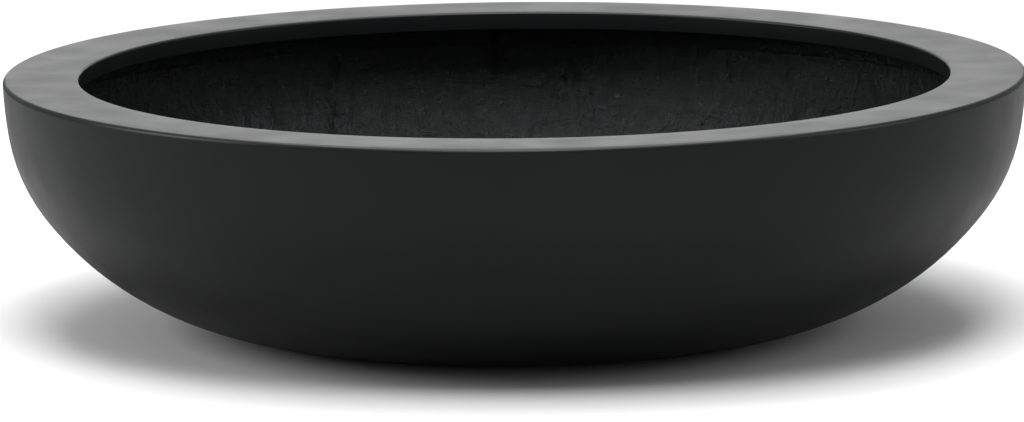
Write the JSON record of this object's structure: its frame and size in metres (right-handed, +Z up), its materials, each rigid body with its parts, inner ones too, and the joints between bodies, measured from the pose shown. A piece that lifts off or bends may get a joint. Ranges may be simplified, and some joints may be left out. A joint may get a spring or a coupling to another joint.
{
  "type": "bowl planter",
  "caption": "Wide, low fibreglass bowl planter with a flat turned-in rim, a down-turned inner lip, pull-out drain plugs and rubber foot pads under a recessed base.",
  "frame": {"origin": "centre of the circle through the foot pads' undersides, on the floor", "axes": "+Z up along the bowl's axis of revolution; +X and +Y level, with a foot pad and a drain plug on +X"},
  "size_m": [1.2, 1.2, 0.3],
  "materials": {
    "charcoal_laminate": "satin charcoal gel coat on glass-reinforced laminate",
    "raw_laminate": "rough hand-laid glass mat, brushed with charcoal resin",
    "plywood": "bare plywood, sealed inside the laminate",
    "black_rubber": "matt black rubber"
  },
  "bodies": {
    "planter": {"bowl_shell": "charcoal_laminate", "rim_ring": "charcoal_laminate", "rim_tie_strip": "raw_laminate", "base_ply_disc": "plywood", "base_overlay": "raw_laminate", "foot_pad_1": "black_rubber", "foot_pad_2": "black_rubber", "foot_pad_3": "black_rubber", "foot_pad_4": "black_rubber", "foot_pad_5": "black_rubber", "foot_pad_6": "black_rubber"},
    "drain_plug_1": {"drain_plug_1": "black_rubber"},
    "drain_plug_2": {"drain_plug_2": "black_rubber"},
    "drain_plug_3": {"drain_plug_3": "black_rubber"},
    "drain_plug_4": {"drain_plug_4": "black_rubber"}
  },
  "joints": [
    {"name": "drain_plug_1_pull", "type": "slide", "parent": "planter", "child": "drain_plug_1", "axis": [0, 0, 1], "range_m": [0, 0.06]},
    {"name": "drain_plug_2_pull", "type": "slide", "parent": "planter", "child": "drain_plug_2", "axis": [0, 0, 1], "range_m": [0, 0.06]},
    {"name": "drain_plug_3_pull", "type": "slide", "parent": "planter", "child": "drain_plug_3", "axis": [0, 0, 1], "range_m": [0, 0.06]},
    {"name": "drain_plug_4_pull", "type": "slide", "parent": "planter", "child": "drain_plug_4", "axis": [0, 0, 1], "range_m": [0, 0.06]}
  ]
}
